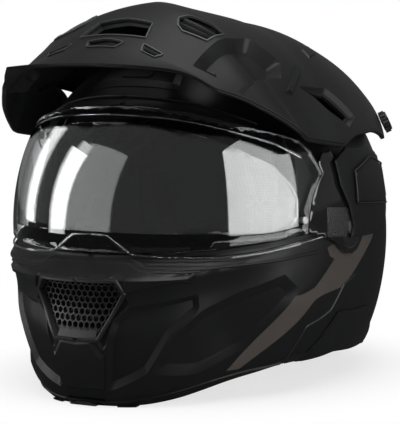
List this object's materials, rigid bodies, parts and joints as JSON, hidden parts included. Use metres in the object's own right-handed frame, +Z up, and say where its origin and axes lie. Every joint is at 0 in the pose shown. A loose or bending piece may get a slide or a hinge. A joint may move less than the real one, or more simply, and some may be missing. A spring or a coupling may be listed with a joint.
{
  "type": "modular motorcycle helmet",
  "caption": "Full-face motorcycle helmet with a stand-off peak, a flip-up chin bar, a clear face shield, an inner sun visor, sliding vents, a padded lining and a buckled chin strap.",
  "frame": {"origin": "middle of the helmet's bounding box on the surface it rests on", "axes": "+Z up, -Y the way the wearer faces, +X the wearer's left"},
  "size_m": [0.2568, 0.3247, 0.2725],
  "materials": {
    "matte_shell": "matte black paint with a warm grey stripe",
    "peak_plastic": "moulded, fine grain",
    "gloss_frame": "gloss black",
    "clear_shield": "clear polycarbonate",
    "dark_tint": "smoke tinted polycarbonate",
    "foam_core": "expanded polystyrene",
    "lining_cloth": "brushed knit over soft foam",
    "webbing": "woven strap",
    "rubber_trim": "soft black rubber",
    "steel": "zinc plated",
    "buckle_plastic": "moulded",
    "red_lever": "moulded red",
    "hub_plastic": "moulded grey"
  },
  "bodies": {
    "helmet": {"outer_shell": "matte_shell", "shock_liner": "foam_core", "crown_pad": "lining_cloth", "cheek_pad_left": "lining_cloth", "cheek_pad_right": "lining_cloth", "neck_roll": "lining_cloth", "eyeport_gasket": "rubber_trim", "base_trim": "rubber_trim", "rest_pads_rear": "rubber_trim", "peak": "peak_plastic", "peak_screws": "peak_plastic", "brow_vent_frame": "peak_plastic", "rear_vent_cover": "matte_shell", "intercom_cover_left": "matte_shell", "intercom_cover_right": "matte_shell", "pivot_shaft_left": "steel", "pivot_shaft_right": "steel", "pivot_cap_left": "gloss_frame", "pivot_cap_right": "gloss_frame", "strap_left": "webbing", "strap_right": "webbing", "strap_rivets": "steel", "buckle_body": "buckle_plastic", "latch_bracket_left": "steel", "latch_bracket_right": "steel"},
    "chin_bar": {"chin_bar": "matte_shell", "chin_liner": "foam_core", "chin_hinge_ring_left": "steel", "chin_hinge_ring_right": "steel", "chin_vent_frame": "peak_plastic", "chin_vent_grille": "peak_plastic", "chin_trim": "rubber_trim", "rest_pads_front": "rubber_trim", "chin_curtain": "lining_cloth", "breath_deflector": "rubber_trim", "shield_seal": "rubber_trim", "latch_hook_left": "steel", "latch_hook_right": "steel"},
    "face_shield": {"face_shield": "clear_shield", "shield_arm_left": "gloss_frame", "shield_arm_right": "gloss_frame", "shield_ring_left": "hub_plastic", "shield_ring_right": "hub_plastic", "antifog_insert": "clear_shield", "antifog_pins": "hub_plastic"},
    "sun_visor": {"sun_visor": "dark_tint", "sun_hub_left": "hub_plastic", "sun_hub_right": "hub_plastic"},
    "vent_shutter": {"chin_vent_shutter": "peak_plastic"},
    "release_button": {"release_button": "peak_plastic"},
    "brow_slider": {"brow_vent_slider": "peak_plastic"},
    "sun_lever": {"sun_lever": "peak_plastic"},
    "buckle_lever": {"buckle_lever": "red_lever"}
  },
  "joints": [
    {"name": "chin_bar_hinge", "type": "hinge", "parent": "helmet", "child": "chin_bar", "pos_m": [0, 0, 0.112], "axis": [-1, 0, 0], "range_deg": [0, 50]},
    {"name": "face_shield_hinge", "type": "hinge", "parent": "chin_bar", "child": "face_shield", "pos_m": [0, 0, 0.112], "axis": [-1, 0, 0], "range_deg": [0, 32]},
    {"name": "sun_visor_hinge", "type": "hinge", "parent": "helmet", "child": "sun_visor", "pos_m": [0, 0, 0.112], "axis": [1, 0, 0], "range_deg": [0, 38]},
    {"name": "sun_lever_slide", "type": "slide", "parent": "helmet", "child": "sun_lever", "axis": [0, 1, 0], "range_m": [0, 0.022]},
    {"name": "vent_shutter_slide", "type": "slide", "parent": "chin_bar", "child": "vent_shutter", "axis": [0, -0.0698, -0.9976], "range_m": [0, 0.005]},
    {"name": "brow_slider_slide", "type": "slide", "parent": "helmet", "child": "brow_slider", "axis": [1, 0, 0], "range_m": [-0.006, 0.006]},
    {"name": "release_button_press", "type": "slide", "parent": "chin_bar", "child": "release_button", "axis": [0, 0, 1], "range_m": [0, 0.0015], "stiffness_N_per_m": 800, "springref_m": -0.0005},
    {"name": "buckle_lever_hinge", "type": "hinge", "parent": "helmet", "child": "buckle_lever", "pos_m": [0.033, 0.031, 0.0156], "axis": [0, 1, 0], "range_deg": [0, 50], "stiffness_Nm_per_rad": 0.05, "springref_deg": -11.46}
  ],
  "couplings": [
    {"joint": "sun_lever_slide", "follows": "sun_visor_hinge", "m_per_rad": 0.033}
  ]
}
